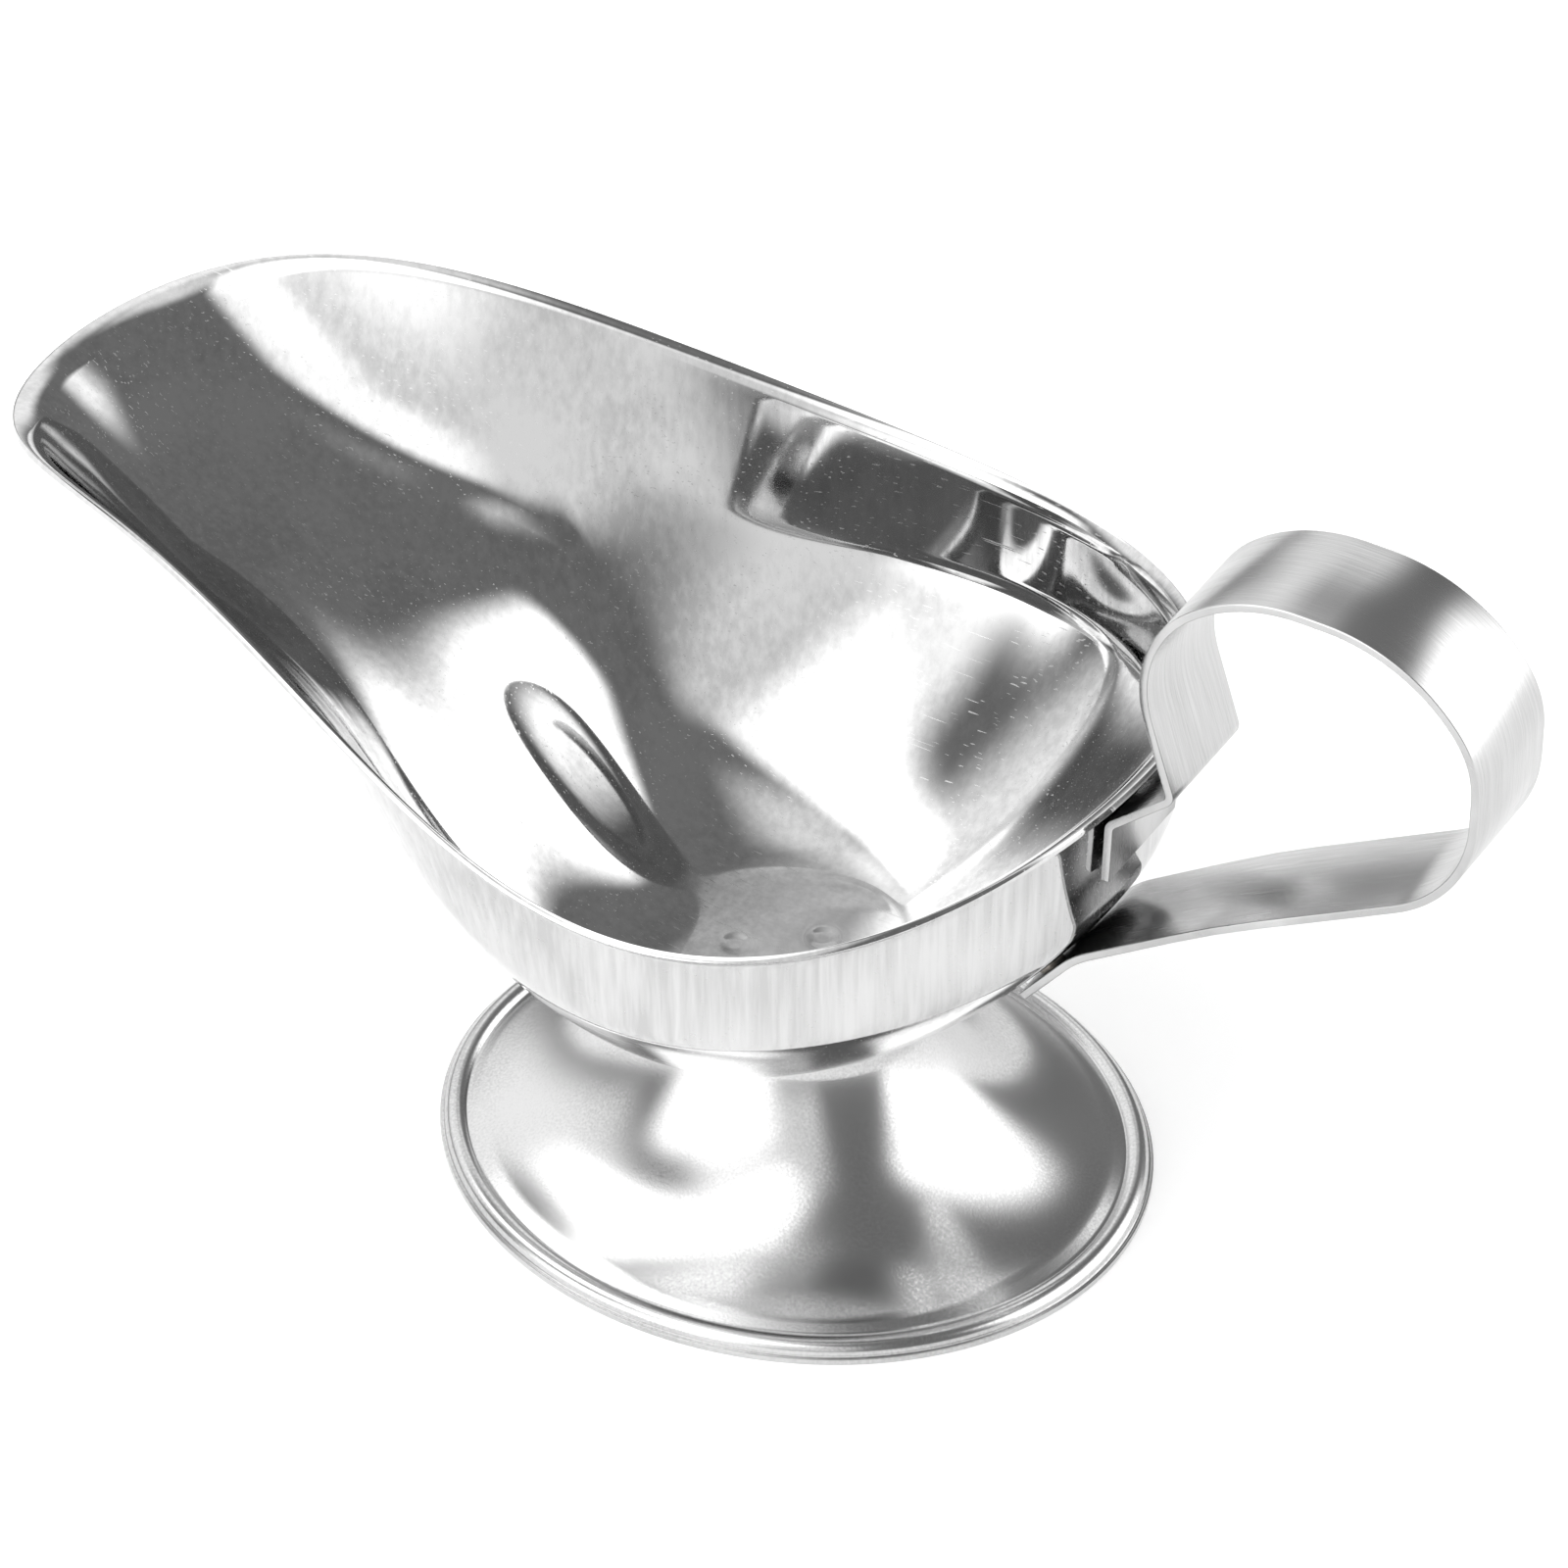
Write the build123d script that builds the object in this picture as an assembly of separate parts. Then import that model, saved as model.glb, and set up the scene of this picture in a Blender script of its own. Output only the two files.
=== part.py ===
from build123d import *
import math
import os

# Stainless steel sauce boat on an oval pedestal, with a bent strip handle.
# Millimetres. Origin: centre of the foot on the table. +Z up, +X towards the handle,
# so the spout points along -X, and the boat is symmetric about the XZ plane.

# --- sheet metal -------------------------------------------------------------
BOWL_SHEET = 0.8
FOOT_SHEET = 0.8
WELD_GAP = 0.3          # slit that a spot weld leaves between two sheets

# --- rim of the bowl, at even steps of the sweep angle: 0 = handle, 180 = spout ----
RIM_REAR = 45.8
RIM_TIP = -99.3
RIM_HALF_WIDTH = (0.0, 27.9, 45.8, 42.8, 31.4, 19.7, 0.0)
RIM_HEIGHT = (73.9, 69.3, 64.7, 70.1, 79.2, 77.2, 73.6)

# --- section of the bowl, each value at 0, 60, 120 and 180 degrees of sweep -------
LIP_RADIUS = (3.3, 3.0, 3.3, 5.0)       # rolled lip
LIP_ANGLE = (76.0, 52.0, 75.0, 95.0)    # where the lip stops, from vertical
WALL_LEAN = (2.7, 1.8, 39.0, 54.9)      # outward lean of the wall, from vertical
BAND_DEPTH = (17.7, 13.1, 20.6, 8.1)    # rim down to the crease
CREASE_BEND = (9.4, 27.9, 14.4, 13.9)   # how sharply the wall turns under
BELLY_LOW = (0.20, 0.21, 0.52, 0.22)    # fullness near the bottom, share of the chord
BELLY_HIGH = (0.14, 0.15, 0.11, 0.69)   # fullness near the crease
BOTTOM_Z = 24.9
BOTTOM_LENGTH_R = 10.8
BOTTOM_WIDTH_R = 15.8

# --- foot -----------------------------------------------------------------------
FOOT_LENGTH_R = 42.3
FOOT_WIDTH_R = 37.4
FLANGE = 0.5            # flat outer edge that rests on the table
GROUND_OFF = 0.05       # ground off the underside, so that the edge stands flat
BEAD_R = 1.35           # half the width of the rounded bead behind the flange
BEAD_RISE = 1.6         # how far the bead stands above the flange
GROOVE_Z = 1.7          # top of the sheet in the groove behind the bead
CONE_START = 5.0        # from the outer edge in to where the cone starts
CONE_START_Z = 2.6
NECK_R = 16.0
NECK_FILLET = 2.5
CONE_BOW = 25.8         # half of the cone's turn between rim and neck, degrees

# --- handle ---------------------------------------------------------------------
STRIP_WIDTH = 15.0
STRIP_THICK = 1.0
# centre line of the strip in the XZ plane: corner points and the radius at each
HANDLE_ROUTE = (
    ((43.55, 62.4), None),      # end of the welded tab
    ((43.85, 70.2), 1.6),       # out from the wall
    ((51.3, 76.9), 1.3),        # sharp turn up
    ((45.1, 96.6), 15.5),
    ((59.1, 107.8), 20.0),      # top of the loop
    ((78.4, 107.8), 20.0),
    ((87.6, 96.8), 12.5),
    ((87.4, 78.5), 17.5),       # back of the loop
    ((57.0, 61.2), 150.0),      # lower arm
    ((39.9, 49.5), 14.0),
    ((33.55, 41.4), None),      # end that lies along the belly
)

# --- spot welds -------------------------------------------------------------------
NUGGET_R = 1.6
NUGGET_REACH = 0.7      # half the rod that is cut back to the slit
TAB_NUGGET_X = 43.1
FOOT_NUGGETS = ((8.0, 0.0), (-8.0, 0.0), (0.0, 6.0), (0.0, -6.0))
TAB_NUGGET_Y = 3.2
TAB_NUGGET_Z = 66.0
ARM_NUGGET_Y = 3.2
ARM_NUGGET_POINT = (35.0, 43.7)         # on the arm's centre line
ARM_SLOPE = math.radians(52.0)

RING_POINTS = 48
BELLY_RINGS = 9
WALL_RINGS = 3
LIP_RINGS = 5
STEP = 1e-3


def sweep_even(stations, angle):
    """Smooth value at a sweep angle, level at both ends, through even stations."""
    last = len(stations) - 1
    total = 0.0
    for order in range(last + 1):
        share = 0.0
        for place, value in enumerate(stations):
            weight = 0.5 if place in (0, last) else 1.0
            share += weight * value * math.cos(math.pi * place * order / last)
        share *= (1.0 if order in (0, last) else 2.0) / last
        total += share * math.cos(order * angle)
    return total


def sweep_odd(stations, angle):
    """The same for a value that is zero at both ends and changes side there."""
    last = len(stations) - 1
    total = 0.0
    for order in range(1, last):
        share = 0.0
        for place, value in enumerate(stations):
            share += value * math.sin(math.pi * place * order / last)
        total += 2.0 / last * share * math.sin(order * angle)
    return total


def bottom_edge(angle):
    """Point on the outline of the flat bottom."""
    return BOTTOM_LENGTH_R * math.cos(angle), BOTTOM_WIDTH_R * math.sin(angle)


def rim_edge(angle):
    """Point on the rim, on the sheet's outer side."""
    middle = (RIM_REAR + RIM_TIP) / 2
    x = middle + (RIM_REAR - RIM_TIP) / 2 * math.cos(angle)
    return x, sweep_odd(RIM_HALF_WIDTH, angle), sweep_even(RIM_HEIGHT, angle)


def section_point(angle, level):
    """Distance out from the bottom's edge, and height, on the bowl's outer side.

    level runs 0 to 1 up the belly, 1 to 2 up the wall and 2 to 3 round the lip.
    """
    bottom_x, bottom_y = bottom_edge(angle)
    rim_x, rim_y, rim_z = rim_edge(angle)
    reach = math.hypot(rim_x - bottom_x, rim_y - bottom_y)
    lean = math.radians(sweep_even(WALL_LEAN, angle))
    lip_end = math.radians(sweep_even(LIP_ANGLE, angle))
    lip_r = sweep_even(LIP_RADIUS, angle)
    top_out = reach - lip_r * (math.cos(lean) - math.cos(lip_end))
    top_z = rim_z - lip_r * (math.sin(lip_end) - math.sin(lean))
    if level > 2:
        turn = lean + (lip_end - lean) * (level - 2)
        out = top_out + lip_r * (math.cos(lean) - math.cos(turn))
        return out, top_z + lip_r * (math.sin(turn) - math.sin(lean))
    crease_z = rim_z - sweep_even(BAND_DEPTH, angle)
    crease_out = top_out - math.tan(lean) * (top_z - crease_z)
    if level > 1:
        rise = level - 1
        out = crease_out + (top_out - crease_out) * rise
        return out, crease_z + (top_z - crease_z) * rise
    under = lean + math.radians(sweep_even(CREASE_BEND, angle))
    chord = math.hypot(crease_out, crease_z - BOTTOM_Z)
    low = sweep_even(BELLY_LOW, angle) * chord
    high = sweep_even(BELLY_HIGH, angle) * chord
    corners = (
        (0.0, BOTTOM_Z),
        (low, BOTTOM_Z),
        (crease_out - high * math.sin(under), crease_z - high * math.cos(under)),
        (crease_out, crease_z),
    )
    rest = 1 - level
    shares = (rest**3, 3 * level * rest**2, 3 * level**2 * rest, level**3)
    out = sum(share * corner[0] for share, corner in zip(shares, corners))
    return out, sum(share * corner[1] for share, corner in zip(shares, corners))


def outer_point(angle, level):
    """Point on the bowl's outer side."""
    bottom_x, bottom_y = bottom_edge(angle)
    rim_x, rim_y, _ = rim_edge(angle)
    reach = math.hypot(rim_x - bottom_x, rim_y - bottom_y)
    out, height = section_point(angle, level)
    share = out / reach
    x = bottom_x + (rim_x - bottom_x) * share
    return Vector(x, bottom_y + (rim_y - bottom_y) * share, height)


def inward_normal(angle, level):
    """Unit vector from the outer side into the sheet."""
    if level == 0.0:
        return Vector(0, 0, 1)
    around = outer_point(angle + STEP, level) - outer_point(angle - STEP, level)
    up = outer_point(angle, min(level + STEP, 3.0)) - outer_point(angle, level - STEP)
    return up.cross(around).normalized()


def sheet_point(angle, level, depth):
    """Point at a depth in the sheet; at a crease it keeps the sheet's thickness."""
    if level in (0.0, 3.0) or level != int(level):
        return outer_point(angle, level) + inward_normal(angle, level) * depth
    below = inward_normal(angle, level - 2 * STEP)
    above = inward_normal(angle, level + 2 * STEP)
    middle = (below + above).normalized()
    return outer_point(angle, level) + middle * (depth / middle.dot(above))


def ring(level, depth):
    """Closed curve round the bowl at one level of the section."""
    points = []
    for place in range(RING_POINTS):
        angle = 2 * math.pi * place / RING_POINTS
        points.append(sheet_point(angle, level, depth))
    return Wire([Edge.make_spline(points, periodic=True)])


def band(first, last, count, depth):
    """Smooth skin through rings from one level of the section to another."""
    levels = [first + (last - first) * step / (count - 1) for step in range(count)]
    return Shell.make_loft([ring(level, depth) for level in levels])


def side(depth):
    """Whole outer or inner side of the bowl, closed at the bottom."""
    skins = (
        band(0.0, 1.0, BELLY_RINGS, depth),
        band(1.0, 2.0, WALL_RINGS, depth),
        band(2.0, 3.0, LIP_RINGS, depth),
    )
    faces = [face for skin in skins for face in skin.faces()]
    return faces + [Face(ring(0.0, depth))]


def make_bowl():
    """Pressed bowl: outer and inner sides joined by the cut edge of the rim."""
    cut_edge = Shell.make_loft([ring(3.0, 0.0), ring(3.0, BOWL_SHEET)], ruled=True)
    faces = side(0.0) + side(BOWL_SHEET) + list(cut_edge.faces())
    return Solid(Shell(faces))


def foot_outline():
    """Upper side of the foot's sheet in the XZ plane, from its edge up to its flat top."""
    edge = FOOT_LENGTH_R
    edge_z = FOOT_SHEET - GROUND_OFF
    bead_out = (edge - FLANGE, edge_z)
    bead_in = (edge - FLANGE - 2 * BEAD_R, GROOVE_Z)
    bead_top = (edge - FLANGE - BEAD_R, edge_z + BEAD_RISE)
    cone_foot = (edge - CONE_START, CONE_START_Z)
    top_z = BOTTOM_Z - WELD_GAP
    neck = (NECK_R, top_z - NECK_FILLET)
    chord = math.hypot(cone_foot[0] - neck[0], neck[1] - cone_foot[1])
    chord_angle = math.atan2(neck[1] - cone_foot[1], cone_foot[0] - neck[0])
    bow = math.radians(CONE_BOW)
    sag = chord / 2 * math.tan(bow / 2)
    middle = (
        (cone_foot[0] + neck[0]) / 2 - sag * math.sin(chord_angle),
        (cone_foot[1] + neck[1]) / 2 - sag * math.cos(chord_angle),
    )
    corner_cut = NECK_FILLET * (1 - math.sqrt(0.5))
    shoulder = (NECK_R - corner_cut, top_z - corner_cut)
    return [
        Edge.make_line(flat(edge, edge_z), flat(*bead_out)),
        Edge.make_three_point_arc(flat(*bead_out), flat(*bead_top), flat(*bead_in)),
        Edge.make_line(flat(*bead_in), flat(*cone_foot)),
        Edge.make_three_point_arc(flat(*cone_foot), flat(*middle), flat(*neck)),
        Edge.make_three_point_arc(flat(*neck), flat(*shoulder), flat(NECK_R - NECK_FILLET, top_z)),
        Edge.make_line(flat(NECK_R - NECK_FILLET, top_z), flat(0.0, top_z)),
    ]


def flat(x, z):
    """Point in the XZ plane."""
    return Vector(x, 0.0, z)


def strip_face(line, thickness):
    """Sheet section: a centre line given its thickness, half on each side."""
    one_side = line.offset_2d(thickness / 2, side=Side.LEFT, closed=False)
    return Face(one_side.offset_2d(thickness, side=Side.RIGHT, closed=True))


def make_foot():
    """Oval pedestal: the sheet's section turned round, narrowed across and ground flat."""
    upper = Wire(foot_outline())
    section = Face(upper.offset_2d(FOOT_SHEET, side=Side.LEFT, closed=True))
    turned = revolve(section, Axis.Z, 360)
    oval = scale(turned, by=(1, FOOT_WIDTH_R / FOOT_LENGTH_R, 1))
    return split(oval, bisect_by=Plane.XY, keep=Keep.TOP)


def handle_line():
    """Centre line of the strip in the XZ plane."""
    corners = [flat(*corner) for corner, _ in HANDLE_ROUTE]
    radii = [radius for _, radius in HANDLE_ROUTE if radius is not None]
    return FilletPolyline(*corners, radius=radii)


def make_handle():
    """Flat strip bent along its centre line."""
    section = strip_face(Wire(handle_line().edges()), STRIP_THICK)
    return extrude(section, STRIP_WIDTH / 2, dir=(0, 1, 0), both=True)


def spot_weld(centre, direction, sheets):
    """Fused nugget that fills the slit between two sheets."""
    plane = Plane(origin=centre, z_dir=direction)
    rod = Solid.make_cylinder(NUGGET_R, 2 * NUGGET_REACH, plane.offset(-NUGGET_REACH))
    for sheet in sheets:
        rod = rod - sheet
    return rod.solids().sort_by_distance(centre)[0]


def foot_spot_welds(bowl, foot):
    """Nuggets between the foot's flat top and the bottom of the bowl."""
    height = BOTTOM_Z - WELD_GAP / 2
    return [spot_weld(Vector(x, y, height), (0, 0, 1), (bowl, foot)) for x, y in FOOT_NUGGETS]


def tab_spot_welds(bowl, handle):
    """Nuggets between the handle's tab and the rear wall of the bowl."""
    centres = [Vector(TAB_NUGGET_X, y, TAB_NUGGET_Z) for y in (-TAB_NUGGET_Y, TAB_NUGGET_Y)]
    return [spot_weld(centre, (1, 0, 0), (bowl, handle)) for centre in centres]


def arm_spot_welds(bowl, handle):
    """Nuggets between the handle's lower arm and the belly of the bowl."""
    x, z = ARM_NUGGET_POINT
    normal = (math.sin(ARM_SLOPE), 0, -math.cos(ARM_SLOPE))
    centres = [Vector(x, y, z) for y in (-ARM_NUGGET_Y, ARM_NUGGET_Y)]
    return [spot_weld(centre, normal, (bowl, handle)) for centre in centres]


def main():
    """Make every piece and write one STEP file for each."""
    bowl = make_bowl()
    foot = make_foot()
    handle = make_handle()
    pieces = {
        "bowl": bowl,
        "foot": foot,
        "handle": handle,
        "foot_spot_welds": Compound(foot_spot_welds(bowl, foot)),
        "handle_upper_spot_welds": Compound(tab_spot_welds(bowl, handle)),
        "handle_lower_spot_welds": Compound(arm_spot_welds(bowl, handle)),
    }
    os.makedirs("parts", exist_ok=True)
    for name, shape in pieces.items():
        export_step(shape, f"parts/{name}.step")


main()
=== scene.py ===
"""Looks of a stainless steel sauce boat: polished bowl, satin foot, satin strip handle.

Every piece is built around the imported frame, in metres and in the frame's own axes: +Z up,
+X towards the handle, the spout along -X, and the centre of the foot at the origin.
"""

import logging
import math
from dataclasses import dataclass
from enum import Enum
from typing import Sequence

import bpy
from mathutils import Matrix, Vector


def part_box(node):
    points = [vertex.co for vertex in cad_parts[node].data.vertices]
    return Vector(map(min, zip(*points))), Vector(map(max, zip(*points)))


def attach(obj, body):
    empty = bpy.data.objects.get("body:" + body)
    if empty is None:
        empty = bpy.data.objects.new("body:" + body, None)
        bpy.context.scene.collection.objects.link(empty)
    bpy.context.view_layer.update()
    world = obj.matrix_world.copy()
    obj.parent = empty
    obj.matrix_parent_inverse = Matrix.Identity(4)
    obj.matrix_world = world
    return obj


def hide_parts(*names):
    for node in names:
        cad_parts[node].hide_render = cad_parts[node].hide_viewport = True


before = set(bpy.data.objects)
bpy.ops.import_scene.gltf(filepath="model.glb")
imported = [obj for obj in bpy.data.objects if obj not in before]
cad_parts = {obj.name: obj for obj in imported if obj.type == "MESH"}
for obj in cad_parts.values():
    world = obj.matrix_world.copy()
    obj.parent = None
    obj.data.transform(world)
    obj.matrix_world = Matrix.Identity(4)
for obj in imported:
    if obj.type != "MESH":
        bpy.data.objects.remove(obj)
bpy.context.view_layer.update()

LOG = logging.getLogger("sauce_boat")
BODY = "root"
MM = 0.001
FULL_TURN = 2 * math.pi
SMOOTH_BELOW = math.radians(35)  # softer angles than this shade smooth
CORNER_ABOVE = math.radians(50)  # sharper angles than this are a sheet's edges


# --- shader nodes ------------------------------------------------------------------


def linear(hex_colour: str) -> tuple[float, float, float, float]:
    """Turns an sRGB hex colour into linear light.

    Args:
        hex_colour: Six hex digits, such as "C8C8C6".

    Returns:
        Red, green, blue and an alpha of one.
    """
    shares = [int(hex_colour[place : place + 2], 16) / 255 for place in (0, 2, 4)]
    light = [s / 12.92 if s <= 0.04045 else ((s + 0.055) / 1.055) ** 2.4 for s in shares]
    return light[0], light[1], light[2], 1.0


def add_node(
    tree: bpy.types.NodeTree, kind: str, inputs: dict | None = None, **settings: object
) -> bpy.types.Node:
    """Adds one node with its settings, values and links.

    Args:
        tree: The material's or the world's node tree.
        kind: Blender's name of the node type.
        inputs: Socket name or number to a value, or to the output socket that feeds it.
        settings: Attributes of the node.

    Returns:
        The new node.
    """
    made = tree.nodes.new(kind)
    for name, value in settings.items():
        setattr(made, name, value)
    for name, value in (inputs or {}).items():
        if isinstance(value, bpy.types.NodeSocket):
            tree.links.new(value, made.inputs[name])
        else:
            made.inputs[name].default_value = value
    return made


@dataclass(frozen=True)
class Steel:
    """A stainless steel finish: its colour, its gloss and the marks of how it was made.

    Attributes:
        name: What the finish is, in a maker's words.
        colour: sRGB hex of the clean metal.
        haze: sRGB hex where the finish is duller.
        roughness: Lowest and highest roughness.
        grain_mm: Spacing of the marks along the piece's X, Y and Z, in millimetres.
        grain_depth_mm: How deep the grain is.
        wave_mm: Length of the slow waves and hazy patches that pressing leaves.
        wave_depth_mm: How deep those waves are.
        scratch_mm: Spacing of hairline scratches along X, Y and Z, or nothing for none.
        scratch_roughness: How much rougher a scratch is than the metal beside it.
        grain_span: Grain values that give the lowest and the highest roughness.
        scratch_span: Noise values at which a scratch starts and is full.
        haze_span: Grain times waves, where the haze starts and is full.
    """

    name: str
    colour: str
    haze: str
    roughness: tuple[float, float]
    grain_mm: tuple[float, float, float]
    grain_depth_mm: float
    wave_mm: float = 20.0
    wave_depth_mm: float = 0.0
    scratch_mm: tuple[float, float, float] | None = None
    scratch_roughness: float = 0.22
    grain_span: tuple[float, float] = (0.3, 0.7)
    scratch_span: tuple[float, float] = (0.74, 0.78)
    haze_span: tuple[float, float] = (0.15, 0.38)

    def noise(
        self, tree: bpy.types.NodeTree, spacing: Sequence[float], detail: float
    ) -> bpy.types.NodeSocket:
        """Adds a noise whose features have the given spacing along each axis.

        Args:
            tree: The material's node tree.
            spacing: Spacing along X, Y and Z, in millimetres.
            detail: Octaves of finer noise.

        Returns:
            The noise, from zero to one.
        """
        place = add_node(tree, "ShaderNodeTexCoord").outputs["Object"]
        scale = [1 / (step * MM) for step in spacing]
        spread = add_node(tree, "ShaderNodeMapping", {"Vector": place, "Scale": scale})
        return add_node(
            tree, "ShaderNodeTexNoise",
            {"Vector": spread.outputs[0], "Scale": 1.0, "Detail": detail, "Roughness": 0.6},
        ).outputs[0]

    def gloss(
        self, tree: bpy.types.NodeTree, grain: bpy.types.NodeSocket
    ) -> bpy.types.NodeSocket:
        """Makes the roughness follow the grain and lays the scratches over it.

        Args:
            tree: The material's node tree.
            grain: The fine marks, from zero to one.

        Returns:
            The roughness.
        """
        rough = add_node(
            tree, "ShaderNodeMapRange",
            {"Value": grain, "From Min": self.grain_span[0], "From Max": self.grain_span[1],
             "To Min": self.roughness[0], "To Max": self.roughness[1]},
        ).outputs[0]
        if not self.scratch_mm:
            return rough
        scratches = add_node(
            tree, "ShaderNodeMapRange",
            {"Value": self.noise(tree, self.scratch_mm, 0.0),
             "From Min": self.scratch_span[0], "From Max": self.scratch_span[1],
             "To Min": 0.0, "To Max": self.scratch_roughness},
        ).outputs[0]
        return add_node(
            tree, "ShaderNodeMath", {0: rough, 1: scratches}, operation="ADD"
        ).outputs[0]

    def tone(
        self,
        tree: bpy.types.NodeTree,
        grain: bpy.types.NodeSocket,
        waves: bpy.types.NodeSocket,
    ) -> bpy.types.NodeSocket:
        """Turns the clean metal's colour to the haze's where grain and waves are both high.

        Args:
            tree: The material's node tree.
            grain: The fine marks, from zero to one.
            waves: The slow waves, from zero to one.

        Returns:
            The colour.
        """
        dull = add_node(
            tree, "ShaderNodeMath", {0: grain, 1: waves}, operation="MULTIPLY"
        ).outputs[0]
        share = add_node(
            tree, "ShaderNodeMapRange",
            {"Value": dull, "From Min": self.haze_span[0], "From Max": self.haze_span[1]},
        ).outputs[0]
        return add_node(
            tree, "ShaderNodeMix",
            {"Factor": share, "A": linear(self.colour), "B": linear(self.haze)},
            data_type="RGBA",
        ).outputs["Result"]

    def relief(
        self,
        tree: bpy.types.NodeTree,
        grain: bpy.types.NodeSocket,
        waves: bpy.types.NodeSocket,
    ) -> bpy.types.NodeSocket:
        """Bends the light at the slow waves and, on top of them, at the grain.

        Args:
            tree: The material's node tree.
            grain: The fine marks, from zero to one.
            waves: The slow waves, from zero to one.

        Returns:
            The surface's direction.
        """
        slow = add_node(
            tree, "ShaderNodeBump", {"Height": waves, "Distance": self.wave_depth_mm * MM}
        ).outputs[0]
        return add_node(
            tree, "ShaderNodeBump",
            {"Height": grain, "Distance": self.grain_depth_mm * MM, "Normal": slow},
        ).outputs[0]

    def make(self) -> bpy.types.Material:
        """Builds the material.

        Returns:
            The finished material, with the metal's shader and its marks.
        """
        material = bpy.data.materials.new(self.name)
        material.use_nodes = True
        tree = material.node_tree
        tree.nodes.clear()
        grain = self.noise(tree, self.grain_mm, 3.0)
        waves = self.noise(tree, (self.wave_mm,) * 3, 1.0)
        shader = add_node(
            tree, "ShaderNodeBsdfPrincipled",
            {"Base Color": self.tone(tree, grain, waves), "Metallic": 1.0,
             "Roughness": self.gloss(tree, grain),
             "Normal": self.relief(tree, grain, waves)},
        )
        add_node(tree, "ShaderNodeOutputMaterial", {"Surface": shader.outputs[0]})
        return material


# --- bench: edit-mode steps that every piece shares ---------------------------------


class Side(Enum):
    """Side of a drawn skin that its sheet's thickness takes up."""

    INNER = -1.0
    BOTH = 0.0


class End(Enum):
    """End of a piece, by the way that its outermost face looks."""

    TOP = 1
    BOTTOM = -1


def lay_down_tools() -> None:
    """Leaves edit mode and deselects everything."""
    if bpy.context.object and bpy.context.object.mode != "OBJECT":
        bpy.ops.object.mode_set(mode="OBJECT")
    bpy.ops.object.select_all(action="DESELECT")


def start_ring(name: str, vertices: int, radius: float, height: float) -> bpy.types.Object:
    """Adds an open ring and enters edit mode with its edges selected.

    Args:
        name: Name of the piece.
        vertices: How many vertices go round.
        radius: Radius of the ring.
        height: Height of the ring above the table.

    Returns:
        The new object.
    """
    lay_down_tools()
    bpy.ops.mesh.primitive_circle_add(
        vertices=vertices, radius=radius, location=(0, 0, height)
    )
    piece = bpy.context.object
    bpy.ops.object.transform_apply(location=True)
    piece.name = name
    piece.data.name = name
    bpy.ops.object.mode_set(mode="EDIT")
    bpy.ops.mesh.select_mode(type="EDGE")
    bpy.ops.mesh.select_all(action="SELECT")
    return piece


def extrude_ring(growth: float, rise: float) -> None:
    """Extrudes the selected ring and resizes it about the upright axis.

    Args:
        growth: New radius as a share of the old.
        rise: How far up the new ring goes.
    """
    bpy.ops.mesh.extrude_region_move(TRANSFORM_OT_translate={"value": (0, 0, rise)})
    bpy.ops.transform.resize(value=(growth, growth, 1), center_override=(0, 0, 0))


def turn_outwards(piece: bpy.types.Object, end: End) -> None:
    """Makes a skin's faces agree, and look outwards at one end. It starts in edit mode.

    Args:
        piece: The skin.
        end: The end whose outermost face has to look out.
    """
    bpy.ops.mesh.select_all(action="SELECT")
    bpy.ops.mesh.normals_make_consistent(inside=False)
    bpy.ops.object.mode_set(mode="OBJECT")
    outermost = max(piece.data.polygons, key=lambda face: end.value * face.center.z)
    if end.value * outermost.normal.z < 0:
        bpy.ops.object.mode_set(mode="EDIT")
        bpy.ops.mesh.flip_normals()
        bpy.ops.object.mode_set(mode="OBJECT")


def give_thickness(
    piece: bpy.types.Object, thickness: float, side: Side, edge_round: float, segments: int
) -> None:
    """Gives a skin its sheet, eases the sheet's edges and shades the piece smooth.

    Args:
        piece: The skin.
        thickness: Thickness of the sheet.
        side: Side of the skin that the thickness takes up.
        edge_round: How far the sheet's edges are eased.
        segments: Faces across an eased edge.
    """
    steps = {
        "SOLIDIFY": {"thickness": thickness, "offset": side.value,
                     "use_even_offset": True, "use_quality_normals": True},
        "BEVEL": {"width": edge_round, "segments": segments,
                  "limit_method": "ANGLE", "angle_limit": CORNER_ABOVE},
    }
    lay_down_tools()
    bpy.context.view_layer.objects.active = piece
    piece.select_set(True)
    for kind, settings in steps.items():
        modifier = piece.modifiers.new(kind.title(), kind)
        for name, value in settings.items():
            setattr(modifier, name, value)
        bpy.ops.object.modifier_apply(modifier=modifier.name)
    bpy.ops.object.shade_smooth_by_angle(angle=SMOOTH_BELOW)


def hand_over(piece: bpy.types.Object, finish: Steel, nodes: Sequence[str]) -> None:
    """Gives a piece its finish, puts it on the body for its CAD nodes and reports it.

    Args:
        piece: The finished piece.
        finish: The finish of its whole surface.
        nodes: The CAD nodes that it stands for.
    """
    piece.data.materials.clear()
    piece.data.materials.append(finish.make())
    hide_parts(*nodes)
    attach(piece, BODY)
    mesh = piece.data
    LOG.info("%s: %d vertices, %d faces", piece.name, len(mesh.vertices), len(mesh.polygons))


# --- bowl ---------------------------------------------------------------------------


def sweep_even(stations: Sequence[float], angle: float) -> float:
    """Smooth value at a sweep angle, level at both ends.

    Args:
        stations: Values at even steps from 0 to 180 degrees.
        angle: Sweep angle in radians: 0 at the handle, pi at the spout.

    Returns:
        The value at that angle.
    """
    last = len(stations) - 1
    total = 0.0
    for order in range(last + 1):
        share = 0.0
        for place, value in enumerate(stations):
            weight = 0.5 if place in (0, last) else 1.0
            share += weight * value * math.cos(math.pi * place * order / last)
        share *= (1.0 if order in (0, last) else 2.0) / last
        total += share * math.cos(order * angle)
    return total


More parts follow.
